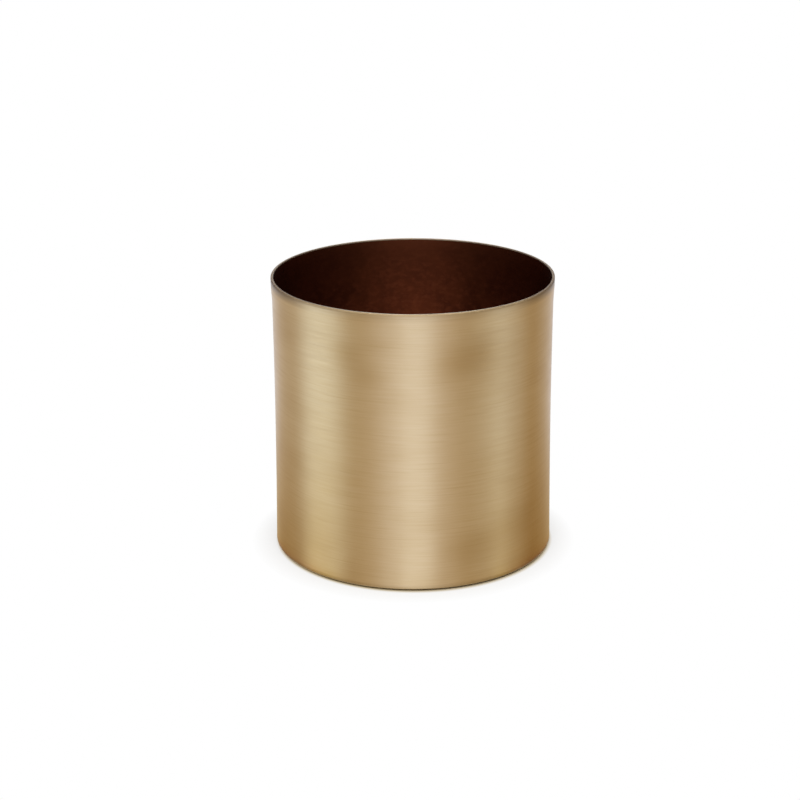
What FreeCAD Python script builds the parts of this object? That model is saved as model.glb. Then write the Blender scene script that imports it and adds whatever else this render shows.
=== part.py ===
import FreeCAD, Part
import os
import Sketcher
from collections import namedtuple

# Cachepot: a brushed brass plant pot cover, fabricated from sheet.
# A strip is rolled into the wall and brazed along one seam at the back, a pressed pan is
# soldered in as the base, the inside is lacquered dark, and four pads keep it off the table.
# The origin is the middle of the circle it stands in, +Z is up and +Y is the back.

# Driving sizes in millimetres: name, value, what it measures.
SIZES = [
    ("overall_height", 140, "table to the top of the rim"),
    ("foot_diameter", 140.4, "outside of the wall at its foot"),
    ("waist_height", 84, "table to the slimmest ring of the wall"),
    ("waist_draw", 0.8, "how far the waist lies inside the foot, on the radius"),
    ("rim_reach", 0.4, "how far the rim's edge stands out past the foot, on the radius"),
    ("lip_height", 6, "height of the lip that turns out under the rim"),
    ("sheet_thickness", 1.2, "sheet of the wall"),
    ("rim_outer_round", 0.5, "outer edge of the rim"),
    ("rim_inner_round", 0.25, "inner edge of the rim"),
    ("foot_round", 0.45, "outer edge of the foot"),
    ("seam_width", 0.6, "gap between the ends of the rolled strip"),
    ("pan_thickness", 1.0, "sheet of the base pan"),
    ("pan_height", 8, "base pan with its upturned flange"),
    ("pan_corner_radius", 2.5, "outside of the pan's pressed corner"),
    ("pan_recess", 0.8, "foot of the wall below the underside of the pan"),
    ("pan_clearance", 0.1, "between the pan's flange and the wall, at its tightest"),
    ("solder_height", 1.4, "solder that stands on the flange, up the wall"),
    ("coat_thickness", 0.2, "lacquer on the inside"),
    ("coat_clearance", 0.06, "between the lacquer's back and the curved metal round it"),
    ("coat_margin", 0.7, "bare metal between the lacquer and the rim"),
    ("pad_thickness", 2, "foot pad"),
    ("pad_diameter", 12, "foot pad"),
    ("pad_inset", 8, "edge of a foot pad inside the foot of the wall"),
    ("pad_round", 0.4, "worn edge of a foot pad"),
]
PAD_COUNT = 4
FULL_TURN = 360
BACK = 90

doc = FreeCAD.newDocument("cachepot")
sheet = doc.addObject("Spreadsheet::Sheet", "sizes")
for row, (name, value, note) in enumerate(SIZES, start=1):
    sheet.set(f"A{row}", note)
    sheet.set(f"B{row}", str(value))
    sheet.setAlias(f"B{row}", name)
doc.recompute()

# Sizes worked out from the driving ones, as expressions over the sheet.
FOOT_RADIUS = "(sizes.foot_diameter / 2)"
WAIST_RADIUS = f"({FOOT_RADIUS} - sizes.waist_draw)"
RIM_RADIUS = f"({FOOT_RADIUS} + sizes.rim_reach)"
FOOT_LEVEL = "(sizes.pad_thickness - sizes.pan_recess)"
NECK_LEVEL = "(sizes.overall_height - sizes.lip_height)"
RIM_LEVEL = "sizes.overall_height"
PAN_LEVEL = "sizes.pad_thickness"
FLOOR_LEVEL = f"({PAN_LEVEL} + sizes.pan_thickness)"
FLANGE_LEVEL = f"({PAN_LEVEL} + sizes.pan_height)"
SOLDER_LEVEL = f"({FLANGE_LEVEL} + sizes.solder_height)"
COAT_LEVEL = f"({RIM_LEVEL} - sizes.coat_margin)"
SEAM_ANGLE = f"(sizes.seam_width / {FOOT_RADIUS} * 180 / pi)"

# From its foot to its neck the wall is a parabola that is slimmest at the waist.
BOW = f"(sizes.waist_draw / (sizes.waist_height - {FOOT_LEVEL})^2)"


def bow_radius(low, high, depth="0"):
    """Radius of the bowed wall, this deep in the sheet.

    With the same level twice it is a point of the wall. With two levels it is the pole that
    bends the stretch between them, where the tangents at its ends meet."""
    to_low = f"({low} - sizes.waist_height)"
    to_high = f"({high} - sizes.waist_height)"
    return f"({WAIST_RADIUS} + {BOW} * {to_low} * {to_high} - {depth})"


def lip_radius(low, high, depth="0"):
    """The same for the lip, which leaves the neck along the wall and turns out to the rim."""
    low_share = f"(({low} - {NECK_LEVEL}) / sizes.lip_height)"
    high_share = f"(({high} - {NECK_LEVEL}) / sizes.lip_height)"
    straight_on = bow_radius(NECK_LEVEL, RIM_LEVEL)
    mixed = f"({low_share} + {high_share} - 2 * {low_share} * {high_share})"
    return (
        f"((1 - {low_share}) * (1 - {high_share}) * {bow_radius(NECK_LEVEL, NECK_LEVEL)}"
        f" + {mixed} * {straight_on} + {low_share} * {high_share} * {RIM_RADIUS} - {depth})"
    )


# The flange is a cylinder, so it comes closest to the drawn-in wall at its top edge.
PAN_RADIUS = f"({bow_radius(FLANGE_LEVEL, FLANGE_LEVEL, 'sizes.sheet_thickness')} - sizes.pan_clearance)"
PAN_BORE_RADIUS = f"({PAN_RADIUS} - sizes.pan_thickness)"

# A corner of an outline, or a pole that bends the side between the corners beside it.
Station = namedtuple("Station", "name radius level bends")


def corner(name, radius, level):
    return Station(name, radius, level, False)


def bend(name, radius, level):
    return Station(name, radius, level, True)


def middle(low, high):
    return f"(({low} + {high}) / 2)"


def wall_face(side, depth, low, high):
    """Stations up one face of the wall, from a level on the bow to a level on the lip."""
    return [
        corner(f"{side}_low", bow_radius(low, low, depth), low),
        bend(f"{side}_bow", bow_radius(low, NECK_LEVEL, depth), middle(low, NECK_LEVEL)),
        corner(f"{side}_neck", bow_radius(NECK_LEVEL, NECK_LEVEL, depth), NECK_LEVEL),
        bend(f"{side}_lip", lip_radius(NECK_LEVEL, high, depth), middle(NECK_LEVEL, high)),
        corner(f"{side}_high", lip_radius(high, high, depth), high),
    ]


def wall_section():
    """Outline of the sheet from foot to rim, with its edges rounded."""
    depth = "sizes.sheet_thickness"
    foot_top = f"({FOOT_LEVEL} + sizes.foot_round)"
    foot_edge = bow_radius(foot_top, f"({FOOT_LEVEL} - sizes.foot_round)")
    outer_top = f"({RIM_LEVEL} - sizes.rim_outer_round)"
    outer_edge = lip_radius(outer_top, f"({RIM_LEVEL} + sizes.rim_outer_round)")
    inner_top = f"({RIM_LEVEL} - sizes.rim_inner_round)"
    inner_edge = lip_radius(inner_top, f"({RIM_LEVEL} + sizes.rim_inner_round)", depth)
    foot = [
        corner("foot_land", f"({foot_edge} - sizes.foot_round)", FOOT_LEVEL),
        bend("foot_edge", foot_edge, FOOT_LEVEL),
    ]
    rim = [
        bend("outer_edge", outer_edge, RIM_LEVEL),
        corner("outer_land", f"({outer_edge} - sizes.rim_outer_round)", RIM_LEVEL),
        corner("inner_land", f"({inner_edge} + sizes.rim_inner_round)", RIM_LEVEL),
        bend("inner_edge", inner_edge, RIM_LEVEL),
    ]
    outer = wall_face("outer", "0", foot_top, outer_top)
    inner = wall_face("inner", depth, FOOT_LEVEL, inner_top)
    return foot + outer + rim + inner[::-1]


def value(expression):
    """The number that an expression over the sheet gives."""
    return float(sheet.evalExpression(expression))


def new_body(label):
    body = doc.addObject("PartDesign::Body", label)
    body.Label = label
    return body


def new_sketch(body, role, name):
    """A sketch on one of the body's own origin planes."""
    plane = next(f for f in body.Origin.OriginFeatures if f.Role == role)
    sketch = body.newObject("Sketcher::SketchObject", name)
    sketch.AttachmentSupport = [(plane, "")]
    sketch.MapMode = "FlatFace"
    sketch.Visibility = False
    return sketch


# How a sketch's constraints number the ends of an element, the origin and the vertical axis.
START, END, CENTRE = range(1, 4)
ORIGIN, VERTICAL_AXIS = range(-1, -3, -1)
# Radius of the circle that a sketch shows round a curve's pole, which is no size of the pot.
POLE_MARK = 1


def dimension(sketch, name, expression, kind, *where):
    """A named dimension that an expression over the sheet drives."""
    index = sketch.addConstraint(Sketcher.Constraint(kind, *where, value(expression)))
    sketch.renameConstraint(index, name)
    sketch.setExpression(f"Constraints.{name}", expression)


def place_station(sketch, station, element, end):
    """Hold a point of the sketch at a station's radius and level."""
    if station.radius == "0":
        sketch.addConstraint(Sketcher.Constraint("PointOnObject", element, end, VERTICAL_AXIS))
    else:
        dimension(sketch, f"{station.name}_radius", station.radius, "DistanceX", ORIGIN, START, element, end)
    dimension(sketch, f"{station.name}_level", station.level, "DistanceY", ORIGIN, START, element, end)


def add_curve(sketch, poles):
    """A curve with a pole in its middle, and the elements that stand for its poles."""
    up = FreeCAD.Vector(0, 0, 1)
    degree = len(poles) - 1
    marks = [sketch.addGeometry(Part.Circle(pole, up, POLE_MARK), True) for pole in poles]
    sketch.addConstraint(Sketcher.Constraint("Weight", marks[0], 1))
    for mark in marks[1:]:
        sketch.addConstraint(Sketcher.Constraint("Equal", marks[0], mark))
    spline = Part.BSplineCurve(poles, None, None, False, degree, None, False)
    curve = sketch.addGeometry(spline, False)
    alignment = "InternalAlignment:Sketcher::BSplineControlPoint"
    for number, mark in enumerate(marks):
        sketch.addConstraint(Sketcher.Constraint(alignment, mark, CENTRE, curve, number))
    return curve, marks


def draw_outline(sketch, stations):
    """Close a loop through the corners, each station driven by its expressions."""
    sides = []
    for index, station in enumerate(stations):
        if station.bends:
            continue
        after = stations[(index + 1) % len(stations)]
        run = [station, after]
        if after.bends:
            run.append(stations[(index + 2) % len(stations)])
        points = [FreeCAD.Vector(value(s.radius), value(s.level), 0) for s in run]
        if after.bends:
            side, marks = add_curve(sketch, points)
            place_station(sketch, station, marks[0], CENTRE)
            place_station(sketch, after, marks[1], CENTRE)
        else:
            side = sketch.addGeometry(Part.LineSegment(*points), False)
            place_station(sketch, station, side, START)
        sides.append(side)
    for side, following in zip(sides, sides[1:] + sides[:1]):
        sketch.addConstraint(Sketcher.Constraint("Coincident", side, END, following, START))


def revolve(body, name, stations, angle=str(FULL_TURN)):
    """Turn an outline about the Z axis, half to each side of the XZ plane."""
    sketch = new_sketch(body, "XZ_Plane", f"{name}_section")
    draw_outline(sketch, stations)
    turned = body.newObject("PartDesign::Revolution", name)
    turned.Profile = sketch
    turned.ReferenceAxis = (sketch, ["V_Axis"])
    turned.Midplane = True
    turned.setExpression("Angle", angle)
    return turned


def pad_disc(body, name, radius, length):
    """A disc that stands on the body's XY plane."""
    sketch = new_sketch(body, "XY_Plane", f"{name}_outline")
    circle = Part.Circle(FreeCAD.Vector(), FreeCAD.Vector(0, 0, 1), value(radius))
    outline = sketch.addGeometry(circle, False)
    sketch.addConstraint(Sketcher.Constraint("Coincident", outline, CENTRE, ORIGIN, START))
    dimension(sketch, "disc_radius", radius, "Radius", outline)
    disc = body.newObject("PartDesign::Pad", name)
    disc.Profile = sketch
    disc.setExpression("Length", length)
    return disc


def round_ring(body, base, name, size, radius, level):
    """Round the ring edge that has this radius and level by a size."""
    doc.recompute()
    tolerance = Part.Precision.confusion() * 10
    rings = []
    for number, edge in enumerate(base.Shape.Edges, start=1):
        curve = edge.Curve
        if curve.TypeId != "Part::GeomCircle":
            continue
        level_off = abs(curve.Center.z - value(level))
        radius_off = abs(curve.Radius - value(radius))
        if level_off < tolerance and radius_off < tolerance:
            rings.append(f"Edge{number}")
    rounded = body.newObject("PartDesign::Fillet", name)
    rounded.Base = (base, rings)
    rounded.setExpression("Radius", size)
    return rounded


def build_rolled_piece(label, angle, turn):
    """A piece with the wall's section: the rolled strip itself, or the filler in its seam."""
    body = new_body(label)
    revolve(body, f"{label}_roll", wall_section(), angle)
    up = FreeCAD.Vector(0, 0, 1)
    body.Placement = FreeCAD.Placement(FreeCAD.Vector(), FreeCAD.Rotation(up, turn))
    return body


def build_base_pan():
    """Pressed disc with an upturned flange, one sheet thick all over."""
    body = new_body("base_pan")
    blank = pad_disc(body, "pan_blank", PAN_RADIUS, "sizes.pan_height")
    pressed = round_ring(body, blank, "pan_corner", "sizes.pan_corner_radius", PAN_RADIUS, "0")
    doc.recompute()
    heights = [face.CenterOfMass.z for face in pressed.Shape.Faces]
    mouth = f"Face{heights.index(max(heights)) + 1}"
    hollow = body.newObject("PartDesign::Thickness", "pan_shell")
    hollow.Base = (pressed, [mouth])
    hollow.Reversed = True
    hollow.setExpression("Value", "sizes.pan_thickness")
    body.setExpression("Placement.Base.z", PAN_LEVEL)
    return body


def build_base_solder():
    """Ring of solder on the flange, drawn up the wall."""
    body = new_body("base_solder")
    depth = "sizes.sheet_thickness"
    stations = [
        corner("flange_edge", PAN_BORE_RADIUS, FLANGE_LEVEL),
        corner("wall_low", bow_radius(FLANGE_LEVEL, FLANGE_LEVEL, depth), FLANGE_LEVEL),
        bend(
            "wall_bow",
            bow_radius(FLANGE_LEVEL, SOLDER_LEVEL, depth),
            middle(FLANGE_LEVEL, SOLDER_LEVEL),
        ),
        corner("wall_high", bow_radius(SOLDER_LEVEL, SOLDER_LEVEL, depth), SOLDER_LEVEL),
    ]
    revolve(body, "solder_ring", stations)
    return body


def coat_bore(coat):
    """Radius inside the pan's flange, this far into the lacquer."""
    return f"({PAN_BORE_RADIUS} - sizes.coat_clearance - {coat})"


def coat_floor(coat):
    return f"({FLOOR_LEVEL} + {coat})"


def coat_face(side, coat):
    """Stations over the floor and up the wall, this far into the lacquer."""
    bore = coat_bore(coat)
    floor = coat_floor(coat)
    depth = f"(sizes.sheet_thickness + sizes.coat_clearance + {coat})"
    return [
        corner(f"{side}_middle", "0", floor),
        corner(f"{side}_floor", bore, floor),
        corner(f"{side}_flange", bore, FLANGE_LEVEL),
    ] + wall_face(side, depth, SOLDER_LEVEL, COAT_LEVEL)


def build_inner_lacquer():
    """Waterproof coat inside, over the base and up the wall to just under the rim."""
    body = new_body("inner_lacquer")
    coat = "sizes.coat_thickness"
    outline = coat_face("metal", "0") + coat_face("face", coat)[::-1]
    piece = revolve(body, "coat", outline)
    pan_corner = "(sizes.pan_corner_radius - sizes.pan_thickness)"
    face_corner = f"({pan_corner} - {coat})"
    piece = round_ring(body, piece, "metal_corner", pan_corner, coat_bore("0"), coat_floor("0"))
    round_ring(body, piece, "face_corner", face_corner, coat_bore(coat), coat_floor(coat))
    return body


def build_foot_pad(number):
    """Round self-adhesive pad under the base pan."""
    body = new_body(f"foot_pad_{number}")
    radius = "(sizes.pad_diameter / 2)"
    disc = pad_disc(body, f"pad_disc_{number}", radius, "sizes.pad_thickness")
    round_ring(body, disc, f"pad_edge_{number}", "sizes.pad_round", radius, "0")
    spread = f"({FOOT_RADIUS} - sizes.pad_inset - {radius})"
    bearing = FULL_TURN / PAD_COUNT * (number - 0.5)
    body.setExpression("Placement.Base.x", f"{spread} * cos({bearing})")
    body.setExpression("Placement.Base.y", f"{spread} * sin({bearing})")
    return body


pieces = [
    build_rolled_piece("wall", f"{FULL_TURN} - {SEAM_ANGLE}", BACK - FULL_TURN / 2),
    build_rolled_piece("side_seam", SEAM_ANGLE, BACK),
    build_base_pan(),
    build_base_solder(),
    build_inner_lacquer(),
]
pieces += [build_foot_pad(number) for number in range(1, PAD_COUNT + 1)]
doc.recompute()

for obj in doc.Objects:
    if "Invalid" in obj.State or "Error" in obj.State:
        raise RuntimeError(f"{obj.Label} failed: {obj.State}")
for piece in pieces:
    if piece.Shape.isNull() or not piece.Shape.isValid() or len(piece.Shape.Solids) != 1:
        raise RuntimeError(f"{piece.Label} is not one valid solid")

os.makedirs("parts", exist_ok=True)
for piece in pieces:
    piece.Shape.exportStep(f"parts/{piece.Label}.step")
    box = piece.Shape.optimalBoundingBox(False)
    size = f"{box.XLength:.2f} x {box.YLength:.2f} x {box.ZLength:.2f}"
    print(f"{piece.Label}: {size}, volume {piece.Shape.Volume:.1f}")
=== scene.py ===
import math
import random

import bpy
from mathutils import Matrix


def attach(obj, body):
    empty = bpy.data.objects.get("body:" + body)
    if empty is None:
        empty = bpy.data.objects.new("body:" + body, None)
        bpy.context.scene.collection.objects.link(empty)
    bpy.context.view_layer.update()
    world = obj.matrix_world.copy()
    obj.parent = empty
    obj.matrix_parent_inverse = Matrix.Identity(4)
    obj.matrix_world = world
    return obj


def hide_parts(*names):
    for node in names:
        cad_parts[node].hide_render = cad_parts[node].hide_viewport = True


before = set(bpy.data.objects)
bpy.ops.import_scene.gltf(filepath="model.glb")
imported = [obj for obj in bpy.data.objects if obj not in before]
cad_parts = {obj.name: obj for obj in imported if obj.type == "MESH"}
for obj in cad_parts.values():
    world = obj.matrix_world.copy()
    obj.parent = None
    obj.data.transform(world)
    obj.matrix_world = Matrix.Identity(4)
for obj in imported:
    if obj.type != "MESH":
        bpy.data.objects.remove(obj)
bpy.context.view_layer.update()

# ---------------------------------------------------------------------------------------
# Wall: one strip of 1.2 mm brass sheet, rolled into a sleeve that is slimmest above its
# middle, with its top edge turned out into a small lip and its edges broken. It was
# brushed round its girth after rolling, and then sprayed with thin clear lacquer.
MM = 0.001
FOOT, WAIST, NECK, RIM = 1.2, 84.0, 134.0, 140.0
WAIST_RADIUS, WAIST_DRAW = 69.4, 0.8
LIP_FROM, LIP_TO, LIP_REACH = 127.0, 137.0, 0.38
SHEET, BORE_FLARE = 1.2, 70.6
RIM_BORE, RIM_BORE_FROM = 68.88, 139.35
RIM_ROUND, BORE_ROUND, FOOT_ROUND = 0.6, 0.2, 1.0
RIM_SWELL = 0.06
# Azimuth of the back, and half of the 0.6 mm butt gap there, as an angle at the foot.
BACK, SEAM_HALF = math.pi / 2, math.radians(0.2448)
WALL_LEVELS, LIP_LEVELS, ROUND_STEPS = 56, 20, 5
SEGMENTS = 480
EDGE_ANGLE = math.radians(40)
WAVES, WAVE_DEPTH, WAVE_FADE = 6, 0.0025, 20.0
WAVE_TURNS, WAVE_LENGTHS = (3, 9), (60, 160)

RAW_BRASS = "#D6BD90"
DEEP_BRASS = "#CBAE7C"
SHADE_BRASS = "#B8965E"
LIP_SHADE_GREY = "#68523E"
LAND_BRASS = "#E4D1B6"
FOOT_SHADE_OLIVE = "#6E5832"
LAND_SHADE = "#9A8770"
# Brown of the lacquer that creeps over the bore, also used as painted shade inside near the
# rim.
COAT_AND_SHADE_BROWN = "#4E2818"


def to_linear(hex_colour):
    """An sRGB hex colour as the linear colour that a shader takes."""
    parts = [int(hex_colour[i : i + 2], 16) / 255 for i in (1, 3, 5)]
    curve = [p / 12.92 if p <= 0.04045 else ((p + 0.055) / 1.055) ** 2.4 for p in parts]
    return (*curve, 1.0)


def add_node(tree, kind, settings=None, links=None):
    """A node with its settings, by property or socket, and its inputs linked from outputs."""
    node = tree.nodes.new(kind)
    for name, setting in (settings or {}).items():
        if isinstance(name, str) and hasattr(node, name):
            setattr(node, name, setting)
        else:
            node.inputs[name].default_value = setting
    for name, output in (links or {}).items():
        tree.links.new(output, node.inputs[name])
    return node


def new_finish(name):
    """An empty material and its node tree."""
    material = bpy.data.materials.new(name)
    material.use_nodes = True
    material.node_tree.nodes.clear()
    return material, material.node_tree


def bow_radius(level, other=None):
    """Outer radius of the bowed wall, or the pole between two of its levels."""
    other = level if other is None else other
    bow = WAIST_DRAW / (WAIST - FOOT) ** 2
    return WAIST_RADIUS + bow * (level - WAIST) * (other - WAIST)


def ease(t):
    """0 to 1 with level ends, held beyond them."""
    t = min(1.0, max(0.0, t))
    return t * t * (3 - 2 * t)


def outer_radius(level):
    """Outer radius of the wall at a level: the bow, and the lip that stands proud of it."""
    return bow_radius(level) + LIP_REACH * ease((level - LIP_FROM) / (LIP_TO - LIP_FROM))


def bore_radius(level):
    """Inner radius of the wall, which flares toward the rim outside the inner lacquer."""
    if level <= NECK:
        return bow_radius(level) - SHEET
    share = (level - NECK) / (RIM - NECK)
    return (
        (1 - share) ** 2 * bow_radius(NECK)
        + 2 * share * (1 - share) * bow_radius(NECK, RIM)
        + share**2 * BORE_FLARE
        - SHEET
    )


def rounded(start, corner, end):
    """Points of a broken edge that leaves start and reaches end, bent by its corner."""
    points = []
    for step in range(ROUND_STEPS + 1):
        t = step / ROUND_STEPS
        points.append(
            tuple(
                (1 - t) ** 2 * a + 2 * t * (1 - t) * b + t * t * c
                for a, b, c in zip(start, corner, end)
            )
        )
    return points


def levels(low, high, count):
    """Levels from low to high in even steps, both ends included."""
    return [low + (high - low) * step / count for step in range(count + 1)]


def wall_outline():
    """Section of the sheet, from the foot up the outside, over the rim and down the inside."""
    foot_top = FOOT + FOOT_ROUND
    edge = bow_radius(foot_top)
    outline = rounded((edge - FOOT_ROUND, FOOT), (edge, FOOT), (edge, foot_top))[:-1]
    top = RIM - RIM_ROUND
    rise = levels(foot_top, LIP_FROM, WALL_LEVELS)[:-1] + levels(LIP_FROM, top, LIP_LEVELS)
    outline += [(outer_radius(z), z) for z in rise]
    edge = outer_radius(top) + RIM_SWELL
    outline += rounded((outer_radius(top), top), (edge, RIM), (edge - RIM_ROUND, RIM))[1:]
    top = RIM - BORE_ROUND
    outline += rounded((RIM_BORE + BORE_ROUND, RIM), (RIM_BORE, RIM), (RIM_BORE, top))
    fall = levels(FOOT, NECK, WALL_LEVELS)[:-1] + levels(NECK, RIM_BORE_FROM, LIP_LEVELS)
    outline += [(RIM_BORE, RIM_BORE_FROM)]
    outline += [(bore_radius(z), z) for z in reversed(fall)]
    return outline


rolling = random.Random(7)
ROLL_WAVES = [
    (
        rolling.randint(*WAVE_TURNS),
        rolling.uniform(0, 2 * math.pi),
        rolling.uniform(*WAVE_LENGTHS),
    )
    for _ in range(WAVES)
]


def rolled_wave(angle, level):
    """How far rolled sheet leaves a true circle: up to 0.015 mm, and nothing at the rim."""
    quiet = min(1.0, max(0.0, (RIM - level) / WAVE_FADE))
    total = sum(
        math.sin(turns * angle + phase + 2 * math.pi * level / length)
        for turns, phase, length in ROLL_WAVES
    )
    return WAVE_DEPTH * quiet * total


def turn_outline(name, outline, start, sweep, segments):
    """A smooth mesh from an outline turned about the Z axis, with a face at each end."""
    verts, faces = [], []
    for column in range(segments + 1):
        angle = start + sweep * column / segments
        for radius, level in outline:
            reach = radius + rolled_wave(angle, level)
            across, back = reach * math.cos(angle), reach * math.sin(angle)
            verts.append((across * MM, back * MM, level * MM))
    count = len(outline)
    for column in range(segments):
        here, there = column * count, (column + 1) * count
        for row in range(count):
            up = (row + 1) % count
            faces.append((here + row, there + row, there + up, here + up))
    faces.append(tuple(range(count)))
    faces.append(tuple(segments * count + row for row in range(count))[::-1])
    mesh = bpy.data.meshes.new(name)
    mesh.from_pydata(verts, [], faces)
    mesh.validate()
    mesh.shade_smooth()
    mesh.set_sharp_from_angle(angle=EDGE_ANGLE)
    piece = bpy.data.objects.new(name, mesh)
    bpy.context.scene.collection.objects.link(piece)
    return piece


wall = turn_outline(
    "brushed_wall",
    wall_outline(),
    BACK + SEAM_HALF,
    2 * math.pi - 2 * SEAM_HALF,
    SEGMENTS,
)

# Brushed brass under clear lacquer: the bristles leave hairlines a few hundredths of a
# millimetre apart, drawn here about twenty times coarser so that they show, and these spread
# a reflection up and down but hardly sideways. Each pass of the brush leaves the brass a bit
# rougher or smoother, so the sides of a reflection are ragged. The lacquer adds a faint gloss.
HAIR_LENGTH_MM, HAIR_PITCH_MM, HAIR_DEPTH_MM = 22.0, 0.75, 0.02
STROKE_LENGTH_MM, STROKE_PITCH_MM = 26.0, 0.6
CLOUD_LENGTH_MM, CLOUD_HEIGHT_MM = 34.0, 22.0
PASS_LENGTH_MM, PASS_HEIGHT_MM = 20.0, 1.2
PASS_SMOOTH, PASS_ROUGH = 0.370, 0.430
# Most of a noise lies between these two values.
NOISE_SPAN = {"From Min": 0.3, "From Max": 0.7}
# The lip's underside gets painted shade, less in front than at the sides: levels, distances
# aside and the share in front. The foot gets the same painted shade, up from the edge it
# stands on.
LIP_SHADE_LEVELS, LIP_SHADE_ASIDE, LIP_SHADE_FRONT = (135.4, 138.6), (48.0, 68.0), 0.16
# Levels, distances aside and share in front of the painted shade at the foot.
FOOT_SHADE_LEVELS, FOOT_SHADE_ASIDE, FOOT_SHADE_FRONT = (3.6, 1.2), (10.0, 40.0), 0.40
# The land on top of the rim is left as it was filed: levels, radii and where it darkens aside,
# which is painted shade.
LAND_LEVELS, LAND_RADII, LAND_ASIDE = (139.3, 139.7), (70.0, 69.6), (36.0, 58.0)
LAND_METAL, LAND_ROUGHNESS, LAND_ROUGH_LEVELS = 0.35, 0.58, (138.6, 139.2)
# The inner lacquer creeps over the edge of the bore, between these radii.
CREEP_RADII = (68.96, 68.90)
# Painted reflection: darker and paler patches that stand for the uneven reflections in the
# brass. Columns: azimuth from the front, level, half length and half height in mm, share and
# tint. A patch dies out at PATCH_END half sizes from its middle.
PATCH_END = 1.6
REFLECTION_PATCHES = [
    (17, 114.0, (13, 9), 0.45, SHADE_BRASS),
    (26, 119.0, (14, 9), 0.45, SHADE_BRASS),
    (-27, 118.0, (9, 6), 0.35, SHADE_BRASS),
    (-19, 109.0, (10, 6), 0.30, SHADE_BRASS),
    (26, 22.0, (18, 8), 0.40, SHADE_BRASS),
    (42, 28.0, (16, 10), 0.35, SHADE_BRASS),
    (-72, 16.0, (10, 12), 0.40, SHADE_BRASS),
    (141, 66.0, (26, 12), 0.40, SHADE_BRASS),
    (-118, 96.0, (20, 9), 0.35, SHADE_BRASS),
    (30, 80.0, (18, 13), 0.45, RAW_BRASS),
    (-16, 132.0, (10, 6), 0.45, RAW_BRASS),
    (-150, 40.0, (24, 12), 0.40, RAW_BRASS),
]


def drawn_noise(tree, length_mm, height_mm, detail, roughness=0.5):
    """Noise drawn out level round the pot: features of this length and height."""
    place = add_node(tree, "ShaderNodeTexCoord")
    stretch = (1 / (length_mm * MM), 1 / (length_mm * MM), 1 / (height_mm * MM))
    drawn = add_node(
        tree, "ShaderNodeMapping", {"Scale": stretch}, {"Vector": place.outputs["Object"]}
    )
    return add_node(
        tree,
        "ShaderNodeTexNoise",
        {"Scale": 1.0, "Detail": detail, "Roughness": roughness},
        {"Vector": drawn.outputs["Vector"]},
    ).outputs["Fac"]


def layered_colour(tree, ground, layers):
    """A ground colour under layers: value, where each starts and is full, share and tint."""
    colour = None
    for value, start, full, share, tint in layers:
        cover = add_node(
            tree,
            "ShaderNodeMapRange",
            {"From Min": start, "From Max": full, "To Max": share},
            {"Value": value},
        )
        mixed = add_node(
            tree,
            "ShaderNodeMix",
            {"data_type": "RGBA", 6: to_linear(ground), 7: to_linear(tint)},
            {0: cover.outputs["Result"]},
        )
        if colour:
            tree.links.new(colour, mixed.inputs[6])
        colour = mixed.outputs[2]
    return colour


def where_both(tree, first, second):
    """The product of two ramps: value, where it starts and is full, and its least share."""
    ramps = {}
    for index, (value, start, full, least) in enumerate((first, second)):
        ramps[index] = add_node(
            tree,
            "ShaderNodeMapRange",
            {"From Min": start, "From Max": full, "To Min": least},
            {"Value": value},
        ).outputs["Result"]
    return add_node(tree, "ShaderNodeMath", {"operation": "MULTIPLY"}, ramps).outputs["Value"]


def in_metres(pair):
    """A pair of sizes in millimetres as metres, which is what a node reads."""
    return [size * MM for size in pair]


def spread_from_axis(tree, place):
    """Distance of a point from the pot's axis."""
    flat = add_node(
        tree,
        "ShaderNodeVectorMath",
        {"operation": "MULTIPLY", 1: (1, 1, 0)},
        {0: place.outputs["Object"]},
    )
    return add_node(
        tree, "ShaderNodeVectorMath", {"operation": "LENGTH"}, {0: flat.outputs["Vector"]}
    ).outputs["Value"]


brass, tree = new_finish("brushed_brass_under_clear_lacquer")
hairs = drawn_noise(tree, HAIR_LENGTH_MM, HAIR_PITCH_MM, 3.0, 0.6)
strokes = drawn_noise(tree, STROKE_LENGTH_MM, STROKE_PITCH_MM, 1.0)
clouds = drawn_noise(tree, CLOUD_LENGTH_MM, CLOUD_HEIGHT_MM, 1.0)
passes = drawn_noise(tree, PASS_LENGTH_MM, PASS_HEIGHT_MM, 2.0)
place = add_node(tree, "ShaderNodeTexCoord")
axes = add_node(tree, "ShaderNodeSeparateXYZ", None, {"Vector": place.outputs["Object"]})
height = axes.outputs["Z"]
aside = add_node(
    tree, "ShaderNodeMath", {"operation": "ABSOLUTE"}, {0: axes.outputs["X"]}
).outputs["Value"]
spread = spread_from_axis(tree, place)
lip_painted_shade = where_both(
    tree,
    (height, *in_metres(LIP_SHADE_LEVELS), 0.0),
    (aside, *in_metres(LIP_SHADE_ASIDE), LIP_SHADE_FRONT),
)
foot_painted_shade = where_both(
    tree,
    (height, *in_metres(FOOT_SHADE_LEVELS), 0.0),
    (aside, *in_metres(FOOT_SHADE_ASIDE), FOOT_SHADE_FRONT),
)
on_land = where_both(
    tree, (height, *in_metres(LAND_LEVELS), 0.0), (spread, *in_metres(LAND_RADII), 0.0)
)
land_painted_shade = where_both(tree, (on_land, 0.0, 1.0, 0.0), (aside, *in_metres(LAND_ASIDE), 0.0))
layers = [
    (hairs, 0.10, 0.90, 0.90, RAW_BRASS),
    (strokes, 0.58, 0.78, 0.28, SHADE_BRASS),
    (clouds, 0.50, 0.80, 0.30, SHADE_BRASS),
]
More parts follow.
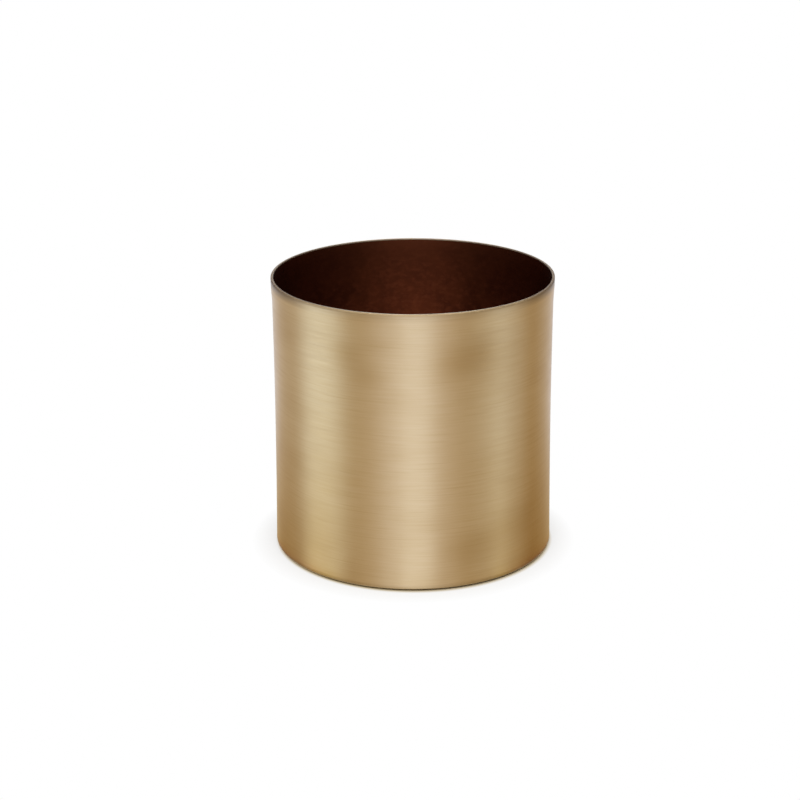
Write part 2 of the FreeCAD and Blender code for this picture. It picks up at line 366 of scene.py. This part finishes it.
# Each patch is painted reflection: a darker or paler tone of the brass.
for azimuth, level, (half_length, half_height), share, tint in REFLECTION_PATCHES:
    turn = math.radians(azimuth)
    across, back = WAIST_RADIUS * math.sin(turn), -WAIST_RADIUS * math.cos(turn)
    away = add_node(
        tree,
        "ShaderNodeVectorMath",
        {"operation": "SUBTRACT", 1: (across * MM, back * MM, level * MM)},
        {0: place.outputs["Object"]},
    )
    halves = [1 / (half * MM) for half in (half_length, half_length, half_height)]
    scaled = add_node(
        tree,
        "ShaderNodeVectorMath",
        {"operation": "MULTIPLY", 1: halves},
        {0: away.outputs["Vector"]},
    )
    reach = add_node(
        tree, "ShaderNodeVectorMath", {"operation": "LENGTH"}, {0: scaled.outputs["Vector"]}
    )
    near = add_node(
        tree,
        "ShaderNodeMapRange",
        {"interpolation_type": "SMOOTHSTEP", "From Min": PATCH_END, "From Max": 0.0},
        {"Value": reach.outputs["Value"]},
    )
    layers.append((near.outputs["Result"], 0.0, 1.0, share, tint))
layers += [
    # Painted shade at the foot.
    (foot_painted_shade, 0.0, 1.0, 0.68, FOOT_SHADE_OLIVE),
    # Painted shade under the lip.
    (lip_painted_shade, 0.0, 1.0, 0.92, LIP_SHADE_GREY),
    (on_land, 0.0, 1.0, 1.0, LAND_BRASS),
    # Painted shade on the land at the sides.
    (land_painted_shade, 0.0, 1.0, 0.80, LAND_SHADE),
    (spread, *in_metres(CREEP_RADII), 0.6, COAT_AND_SHADE_BROWN),
]
bump = add_node(
    tree,
    "ShaderNodeBump",
    {"Strength": 0.04, "Distance": HAIR_DEPTH_MM * MM},
    {"Height": hairs},
)
brushed_roughness = add_node(
    tree,
    "ShaderNodeMapRange",
    {**NOISE_SPAN, "To Min": PASS_SMOOTH, "To Max": PASS_ROUGH},
    {"Value": passes},
).outputs["Result"]
tangent = add_node(tree, "ShaderNodeTangent", {"direction_type": "RADIAL", "axis": "Z"})
land_from, land_to = in_metres(LAND_LEVELS)
rough_from, rough_to = in_metres(LAND_ROUGH_LEVELS)
metal = add_node(
    tree,
    "ShaderNodeBsdfPrincipled",
    {
        "Anisotropic": 0.8,
        "Anisotropic Rotation": 0.25,
        "Coat Weight": 0.4,
        "Coat Roughness": 0.35,
    },
    {
        "Base Color": layered_colour(tree, DEEP_BRASS, layers),
        "Metallic": add_node(
            tree,
            "ShaderNodeMapRange",
            {"From Min": land_from, "From Max": land_to, "To Min": 1.0, "To Max": LAND_METAL},
            {"Value": height},
        ).outputs["Result"],
        "Roughness": add_node(
            tree,
            "ShaderNodeMapRange",
            {"From Min": rough_from, "From Max": rough_to, "To Max": LAND_ROUGHNESS},
            {"Value": height, "To Min": brushed_roughness},
        ).outputs["Result"],
        "Normal": bump.outputs["Normal"],
        "Tangent": tangent.outputs["Tangent"],
    },
)
add_node(tree, "ShaderNodeOutputMaterial", None, {"Surface": metal.outputs["BSDF"]})
wall.data.materials.append(brass)
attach(wall, "root")
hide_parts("wall")

# ---------------------------------------------------------------------------------------
# Side seam: braze run into the butt gap at the back, through the whole sheet and as high as
# the wall, then filed flush. Only its yellower colour and the level lines of the file show,
# which lie about a tenth of a millimetre apart and are drawn coarser to show.
SEAM_STEPS = 6
BRAZE, BRAZE_PALE = "#C2A266", "#D2B982"
BRAZE_GRAIN_MM = 0.5
FILE_LENGTH_MM, FILE_PITCH_MM, FILE_DEPTH_MM = 3.0, 0.4, 0.03
FILE_SMOOTH, FILE_ROUGH = 0.34, 0.48

seam = turn_outline(
    "filed_seam",
    wall_outline(),
    BACK - SEAM_HALF,
    2 * SEAM_HALF,
    SEAM_STEPS,
)
braze, tree = new_finish("filed_and_brushed_braze")
grain = drawn_noise(tree, BRAZE_GRAIN_MM, BRAZE_GRAIN_MM, 3.0)
file_lines = drawn_noise(tree, FILE_LENGTH_MM, FILE_PITCH_MM, 2.0)
bump = add_node(
    tree,
    "ShaderNodeBump",
    {"Strength": 0.15, "Distance": FILE_DEPTH_MM * MM},
    {"Height": file_lines},
)
metal = add_node(
    tree,
    "ShaderNodeBsdfPrincipled",
    {"Metallic": 1.0},
    {
        "Base Color": layered_colour(tree, BRAZE, [(grain, 0.3, 0.7, 1.0, BRAZE_PALE)]),
        "Roughness": add_node(
            tree,
            "ShaderNodeMapRange",
            {**NOISE_SPAN, "To Min": FILE_SMOOTH, "To Max": FILE_ROUGH},
            {"Value": file_lines},
        ).outputs["Result"],
        "Normal": bump.outputs["Normal"],
    },
)
add_node(tree, "ShaderNodeOutputMaterial", None, {"Surface": metal.outputs["BSDF"]})
seam.data.materials.append(braze)
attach(seam, "root")
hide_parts("side_seam")

# ---------------------------------------------------------------------------------------
# Base pan: a disc of 1.0 mm brass pressed with an upturned flange. It was left as it came
# from the press and the lathe, so it has fine turned rings and is duller than the wall. The
# rings lie some tenths of a millimetre apart and are drawn coarser to show.
PAN_BRASS, PAN_DULL = "#C4A878", "#A88C5E"
RING_PITCH_MM, RING_DEPTH_MM = 1.1, 0.04
STAIN_MM = 16.0
RING_SMOOTH, RING_ROUGH = 0.36, 0.52

pan, tree = new_finish("turned_brass_left_unlacquered")
place = add_node(tree, "ShaderNodeTexCoord")
rings = add_node(
    tree,
    "ShaderNodeTexNoise",
    {"noise_dimensions": "1D", "Scale": 1 / (RING_PITCH_MM * MM), "Detail": 2.0},
    {"W": spread_from_axis(tree, place)},
).outputs["Fac"]
stains = drawn_noise(tree, STAIN_MM, STAIN_MM, 4.0)
bump = add_node(
    tree, "ShaderNodeBump", {"Strength": 0.4, "Distance": RING_DEPTH_MM * MM}, {"Height": rings}
)
metal = add_node(
    tree,
    "ShaderNodeBsdfPrincipled",
    {"Metallic": 1.0},
    {
        "Base Color": layered_colour(tree, PAN_BRASS, [(stains, 0.40, 0.75, 1.0, PAN_DULL)]),
        "Roughness": add_node(
            tree,
            "ShaderNodeMapRange",
            {**NOISE_SPAN, "To Min": RING_SMOOTH, "To Max": RING_ROUGH},
            {"Value": rings},
        ).outputs["Result"],
        "Normal": bump.outputs["Normal"],
    },
)
add_node(tree, "ShaderNodeOutputMaterial", None, {"Surface": metal.outputs["BSDF"]})
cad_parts["base_pan"].material_slots[0].material = pan

# ---------------------------------------------------------------------------------------
# Base solder: soft tin solder run round between the pan's flange and the wall, which holds
# the pan and seals it. It set with a dull grey skin, brighter where it ran last.
TIN_GREY, TIN_BRIGHT = "#8C8B86", "#B4B3AE"
SKIN_MM, SKIN_DEPTH_MM = 4.0, 0.1
SKIN_SMOOTH, SKIN_ROUGH = 0.34, 0.55

solder, tree = new_finish("soft_solder_with_grey_skin")
skin = drawn_noise(tree, SKIN_MM, SKIN_MM, 4.0)
bump = add_node(
    tree, "ShaderNodeBump", {"Strength": 0.5, "Distance": SKIN_DEPTH_MM * MM}, {"Height": skin}
)
metal = add_node(
    tree,
    "ShaderNodeBsdfPrincipled",
    {"Metallic": 1.0},
    {
        "Base Color": layered_colour(tree, TIN_GREY, [(skin, 0.35, 0.65, 1.0, TIN_BRIGHT)]),
        "Roughness": add_node(
            tree,
            "ShaderNodeMapRange",
            {**NOISE_SPAN, "To Min": SKIN_SMOOTH, "To Max": SKIN_ROUGH},
            {"Value": skin},
        ).outputs["Result"],
        "Normal": bump.outputs["Normal"],
    },
)
add_node(tree, "ShaderNodeOutputMaterial", None, {"Surface": metal.outputs["BSDF"]})
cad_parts["base_solder"].material_slots[0].material = solder

# ---------------------------------------------------------------------------------------
# Inner lacquer: dark brown lacquer with metal flake, sprayed over the inside and the
# bottom against water. It dries satin, faintly mottled, with a little orange peel.
BROWN, BROWN_DARK, BROWN_PALE = "#6E3721", "#5A2B1B", "#7E422A"
EDGE_BROWN = "#5A4038"
MOTTLE_MM, PEEL_MM, PEEL_DEPTH_MM = 9.0, 2.2, 0.1
# The flake is finer than a tenth of a millimetre, and its clumps are drawn coarser to show.
FLAKE_LENGTH_MM, FLAKE_HEIGHT_MM = 4.0, 2.6
# Between these levels the inside is painted darker toward the rim: painted shade.
SHADED_RIM_LEVELS = (104.0, 138.0)
COAT_SMOOTH, COAT_ROUGH = 0.59, 0.65

lacquer, tree = new_finish("satin_brown_flake_lacquer")
flakes = drawn_noise(tree, FLAKE_LENGTH_MM, FLAKE_HEIGHT_MM, 4.0, 0.65)
mottle = drawn_noise(tree, MOTTLE_MM, MOTTLE_MM, 3.0)
peel = drawn_noise(tree, PEEL_MM, PEEL_MM, 1.0)
bump = add_node(
    tree, "ShaderNodeBump", {"Strength": 0.25, "Distance": PEEL_DEPTH_MM * MM}, {"Height": peel}
)
place = add_node(tree, "ShaderNodeTexCoord")
height = add_node(
    tree, "ShaderNodeSeparateXYZ", None, {"Vector": place.outputs["Object"]}
).outputs["Z"]
layers = [
    (mottle, 0.35, 0.65, 0.7, BROWN),
    (flakes, 0.46, 0.72, 0.70, BROWN_PALE),
    # Painted shade toward the rim.
    (height, *in_metres(SHADED_RIM_LEVELS), 0.85, COAT_AND_SHADE_BROWN),
]
tangent = add_node(tree, "ShaderNodeTangent", {"direction_type": "RADIAL", "axis": "Z"})
paint = add_node(
    tree,
    "ShaderNodeBsdfPrincipled",
    {
        "Metallic": 0.88,
        "Specular IOR Level": 0.2,
        "Specular Tint": to_linear(EDGE_BROWN),
        "Anisotropic": 0.7,
        "Anisotropic Rotation": 0.25,
    },
    {
        "Base Color": layered_colour(tree, BROWN_DARK, layers),
        "Roughness": add_node(
            tree,
            "ShaderNodeMapRange",
            {**NOISE_SPAN, "To Min": COAT_SMOOTH, "To Max": COAT_ROUGH},
            {"Value": mottle},
        ).outputs["Result"],
        "Normal": bump.outputs["Normal"],
        "Tangent": tangent.outputs["Tangent"],
    },
)
add_node(tree, "ShaderNodeOutputMaterial", None, {"Surface": paint.outputs["BSDF"]})
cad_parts["inner_lacquer"].material_slots[0].material = lacquer

# ---------------------------------------------------------------------------------------
# Foot pads: four discs cut from 2 mm black rubber sheet and glued under the pan. They
# carry the pot 1.2 mm clear of the table, and their faces have a fine cloth-pressed grain.
RUBBER, RUBBER_PALE = "#1C1B1A", "#2B2A28"
RUBBER_GRAIN_MM, RUBBER_DEPTH_MM = 0.6, 0.08
RUBBER_SMOOTH, RUBBER_ROUGH = 0.72, 0.86
PAD_COUNT = 4

rubber, tree = new_finish("matt_black_rubber_sheet")
weave = drawn_noise(tree, RUBBER_GRAIN_MM, RUBBER_GRAIN_MM, 2.0)
bump = add_node(
    tree,
    "ShaderNodeBump",
    {"Strength": 0.4, "Distance": RUBBER_DEPTH_MM * MM},
    {"Height": weave},
)
sheet = add_node(
    tree,
    "ShaderNodeBsdfPrincipled",
    None,
    {
        "Base Color": layered_colour(tree, RUBBER, [(weave, 0.3, 0.7, 1.0, RUBBER_PALE)]),
        "Roughness": add_node(
            tree,
            "ShaderNodeMapRange",
            {**NOISE_SPAN, "To Min": RUBBER_SMOOTH, "To Max": RUBBER_ROUGH},
            {"Value": weave},
        ).outputs["Result"],
        "Normal": bump.outputs["Normal"],
    },
)
add_node(tree, "ShaderNodeOutputMaterial", None, {"Surface": sheet.outputs["BSDF"]})
for number in range(1, PAD_COUNT + 1):
    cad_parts[f"foot_pad_{number}"].material_slots[0].material = rubber

# ---------------------------------------------------------------------------------------
# Studio floor and backdrop: white paper under the pot, and a white room beyond it. The
# paper glows for the camera and for reflections, and keeps about a quarter of the pot's
# shadow. Under the foot it is dark, less so at the left, where the glow is painted light, and
# at the foot's edge the paper has a painted warm bounce from the brass.
PAPER, PAINTED_BRASS_BOUNCE = "#F2F1EE", "#E6D4AE"
PAINTED_FOOT_BOUNCE, PAPER_GLOW = "#CBB582", "#FFFFFF"
FLOOR_HALF = 4.0
GLOW_NEAR, GLOW_FAR = 0.72, 1.0
UNDER_POT = (0.0681, 0.0703)
WARM_GLOW = (0.0690, 0.0714)
SHADOW_REACH = 0.083
LEAN_FROM, LEAN_TO = -0.060, 0.020
LEFT_LEAN, RIGHT_LEAN = 0.0007, -0.0002
# The room darkens toward its ceiling between these two heights of a unit direction.
ROOM_LIGHT, CEILING_LIGHT = 0.12, 0.05
CEILING_FROM, CEILING_TO = 0.57, 0.77


def seen_straight(tree):
    """1 for rays of the camera, of reflections and through glass, and 0 for the others."""
    path = add_node(tree, "ShaderNodeLightPath")
    total = add_node(
        tree,
        "ShaderNodeMath",
        {"operation": "ADD"},
        {0: path.outputs["Is Camera Ray"], 1: path.outputs["Is Glossy Ray"]},
    )
    return add_node(
        tree,
        "ShaderNodeMath",
        {"operation": "ADD", "use_clamp": True},
        {0: total.outputs["Value"], 1: path.outputs["Is Transmission Ray"]},
    ).outputs["Value"]


paper, tree = new_finish("white_paper")
place = add_node(tree, "ShaderNodeTexCoord")
spread = add_node(
    tree, "ShaderNodeVectorMath", {"operation": "LENGTH"}, {0: place.outputs["Object"]}
)
sideways = add_node(
    tree, "ShaderNodeSeparateXYZ", None, {"Vector": place.outputs["Object"]}
).outputs["X"]
# Painted light: the glow reaches further under the foot at the left.
lean = add_node(
    tree,
    "ShaderNodeMapRange",
    {"From Min": LEAN_FROM, "From Max": LEAN_TO, "To Min": LEFT_LEAN, "To Max": RIGHT_LEAN},
    {"Value": sideways},
)
leaning = add_node(
    tree,
    "ShaderNodeMath",
    {"operation": "ADD"},
    {0: spread.outputs["Value"], 1: lean.outputs["Result"]},
).outputs["Value"]
under = add_node(
    tree,
    "ShaderNodeMapRange",
    {"From Min": UNDER_POT[0], "From Max": UNDER_POT[1]},
    {"Value": leaning},
)
share = add_node(
    tree,
    "ShaderNodeMapRange",
    {
        "From Min": UNDER_POT[1],
        "From Max": SHADOW_REACH,
        "To Min": GLOW_NEAR,
        "To Max": GLOW_FAR,
    },
    {"Value": spread.outputs["Value"]},
)
outside = add_node(
    tree,
    "ShaderNodeMath",
    {"operation": "MULTIPLY"},
    {0: under.outputs["Result"], 1: share.outputs["Result"]},
)
glowing = add_node(
    tree,
    "ShaderNodeMath",
    {"operation": "MULTIPLY"},
    {0: outside.outputs["Value"], 1: seen_straight(tree)},
)
# Painted bounce: the paper's colour and glow are warm where the brass meets it.
bounce = layered_colour(tree, PAINTED_BRASS_BOUNCE, [(spread.outputs["Value"], *UNDER_POT, 1.0, PAPER)])
matt = add_node(tree, "ShaderNodeBsdfDiffuse", None, {"Color": bounce})
warmed = layered_colour(tree, PAINTED_FOOT_BOUNCE, [(leaning, *WARM_GLOW, 1.0, PAPER_GLOW)])
glow = add_node(tree, "ShaderNodeEmission", {"Strength": 1.0}, {"Color": warmed})
mixed = add_node(
    tree,
    "ShaderNodeMixShader",
    None,
    {0: glowing.outputs["Value"], 1: matt.outputs["BSDF"], 2: glow.outputs["Emission"]},
)
add_node(tree, "ShaderNodeOutputMaterial", None, {"Surface": mixed.outputs["Shader"]})
floor_mesh = bpy.data.meshes.new("paper_floor")
corners = [
    (x * FLOOR_HALF, y * FLOOR_HALF, 0.0) for x, y in ((-1, -1), (1, -1), (1, 1), (-1, 1))
]
floor_mesh.from_pydata(corners, [], [(0, 1, 2, 3)])
floor_mesh.materials.append(paper)
floor = bpy.data.objects.new("paper_floor", floor_mesh)
bpy.context.scene.collection.objects.link(floor)

room = bpy.data.worlds.new("white_room")
room.use_nodes = True
room.node_tree.nodes.clear()
tree = room.node_tree
place = add_node(tree, "ShaderNodeTexCoord")
height = add_node(
    tree, "ShaderNodeSeparateXYZ", None, {"Vector": place.outputs["Generated"]}
).outputs["Z"]
white = add_node(
    tree,
    "ShaderNodeMapRange",
    {
        "From Min": CEILING_FROM,
        "From Max": CEILING_TO,
        "To Min": 1.0,
        "To Max": CEILING_LIGHT,
    },
    {"Value": height},
)
strength = add_node(
    tree,
    "ShaderNodeMapRange",
    {"To Min": ROOM_LIGHT},
    {"Value": seen_straight(tree), "To Max": white.outputs["Result"]},
)
background = add_node(
    tree,
    "ShaderNodeBackground",
    {"Color": (1, 1, 1, 1)},
    {"Strength": strength.outputs["Result"]},
)
add_node(tree, "ShaderNodeOutputWorld", None, {"Surface": background.outputs["Background"]})
bpy.context.scene.world = room

# ---------------------------------------------------------------------------------------
# Light tent: cloth that lies on the floor round the pot and then stands up, seen only in
# reflections. It glows by itself, as a light. Three strips of it and its two ends are lit, and
# between them it is brown. The gores start at the foot and fan out, as reflections do, so the
# bands run straight.
TENT_FOOT, TENT_LIFT = 0.0712, 0.0003
GORES, TENT_EDGE = 60, 89.5
TENT_BROWN, TENT_LIT = (0.52, 0.38, 0.17), (1.26, 1.45, 1.80)
MIDDLE_COOL, SIDE_PINK = (0.99, 1.01, 1.15), (0.99, 0.93, 0.89)
# Share of the lit cloth at each angle from the front.
LIT_SHARES = [
    (-90, 0.90), (-78, 0.55), (-66, 0.26), (-56, 0.28), (-45, 1.17), (-38, 1.07), (-25, 0.22),
    (-18, 0.24), (-8, 0.50), (-2, 0.82), (4, 0.78), (12, 0.30), (22, 0.22), (30, 0.38),
    (38, 0.78), (46, 0.42), (57, 0.06), (68, 0.22), (80, 0.56), (90, 0.80),
]
# Reach along the gore, height, and the loss of light in front and aside. It is largest near
# the foot, where it is painted shade from the foot, and at the top, where the cloth is dark.
TENT_ROWS = [
    (0.000, TENT_LIFT, 0.30, 1.00),
    (0.012, TENT_LIFT, 0.20, 0.60),
    (0.120, TENT_LIFT, 0.08, 0.44),
    (0.240, TENT_LIFT, 0.00, 0.00),
    (0.320, TENT_LIFT, 0.00, 0.05),
    (0.320, 0.160, 0.00, 0.12),
    (0.320, 0.220, 1.50, 1.50),
    (0.320, 0.450, 1.60, 1.60),
]
WARM_LOSS = (0.60, 0.85, 1.25)
ASIDE_FROM, ASIDE_TO = 12, 54
COOL_TO, PINK_FROM, TINT_RUN = 24, 64, 14


def cloth_light(angle, front_loss, side_loss):
    """Light of the cloth at an angle, less what the foot and its shadow take."""
    for (low, start), (high, end) in zip(LIT_SHARES, LIT_SHARES[1:]):
        if low <= angle <= high:
            lit = start + (end - start) * ease((angle - low) / (high - low))
    aside = ease((abs(angle) - ASIDE_FROM) / (ASIDE_TO - ASIDE_FROM))
    loss = front_loss + (side_loss - front_loss) * aside
    middle = ease((COOL_TO - abs(angle)) / TINT_RUN)
    side = ease((abs(angle) - PINK_FROM) / TINT_RUN)
    return [
        (dark + (bright - dark) * lit)
        * max(0.0, 1 - loss * warm)
        * (1 + (cool - 1) * middle + (pink - 1) * side)
        for dark, bright, warm, cool, pink in zip(
            TENT_BROWN, TENT_LIT, WARM_LOSS, MIDDLE_COOL, SIDE_PINK
        )
    ]


verts, faces, lights = [], [], []
for gore in range(GORES + 1):
    degrees = -TENT_EDGE + 2 * TENT_EDGE * gore / GORES
    turn = math.radians(degrees)
    for reach, level, front_loss, side_loss in TENT_ROWS:
        verts.append(
            (
                TENT_FOOT * math.sin(turn) + reach * math.sin(2 * turn),
                -TENT_FOOT * math.cos(turn) - reach * math.cos(2 * turn),
                level,
            )
        )
        lights.append(cloth_light(degrees, front_loss, side_loss))
for gore in range(GORES):
    for row in range(len(TENT_ROWS) - 1):
        here, there = gore * len(TENT_ROWS) + row, (gore + 1) * len(TENT_ROWS) + row
        faces.append((here, there, there + 1, here + 1))
tent_mesh = bpy.data.meshes.new("light_tent")
tent_mesh.from_pydata(verts, [], faces)
tints = tent_mesh.color_attributes.new("cloth_light", "FLOAT_COLOR", "POINT")
for index, light in enumerate(lights):
    tints.data[index].color = (*light, 1.0)
cloth, tree = new_finish("tent_cloth")
tint = add_node(tree, "ShaderNodeAttribute", {"attribute_name": "cloth_light"})
glow = add_node(tree, "ShaderNodeEmission", {"Strength": 1.0}, {"Color": tint.outputs["Color"]})
add_node(tree, "ShaderNodeOutputMaterial", None, {"Surface": glow.outputs["Emission"]})
tent_mesh.materials.append(cloth)
tent = bpy.data.objects.new("light_tent", tent_mesh)
bpy.context.scene.collection.objects.link(tent)
tent.visible_camera = False
tent.visible_diffuse = False
tent.visible_shadow = False
tent.visible_transmission = False

# ---------------------------------------------------------------------------------------
# Key lamp: one large soft box high in front of the pot, which puts its light on the paper
# and down the inside.
LAMP_PLACE = (-0.05, -1.10, 1.25)
LAMP_WIDTH = 1.5
LAMP_WATTS = 24.0

lamp_data = bpy.data.lights.new("soft_box", "AREA")
lamp_data.size = LAMP_WIDTH
lamp_data.energy = LAMP_WATTS
lamp = bpy.data.objects.new("soft_box", lamp_data)
lamp.location = LAMP_PLACE
lamp.rotation_euler = (math.atan2(-LAMP_PLACE[1], LAMP_PLACE[2]), 0, 0)
bpy.context.scene.collection.objects.link(lamp)

# ---------------------------------------------------------------------------------------
# Camera. It stands in front of the pot at the height of a seated eye, with a long lens,
# and looks down on it by 19 degrees, as the photograph was taken.
EYE_DISTANCE = 0.960
EYE_HEIGHT = 0.409
EYE_ASIDE = -0.0065
PITCH, ROLL = 19.235, -0.25
LENS_MM = 90.63

camera_data = bpy.data.cameras.new("camera")
camera_data.lens = LENS_MM
camera = bpy.data.objects.new("camera", camera_data)
camera.location = (EYE_ASIDE, -EYE_DISTANCE, EYE_HEIGHT)
camera.rotation_mode = "ZYX"
camera.rotation_euler = (math.radians(90 - PITCH), 0, math.radians(ROLL))
bpy.context.scene.collection.objects.link(camera)
bpy.context.scene.camera = camera
bpy.context.scene.view_settings.view_transform = "Standard"
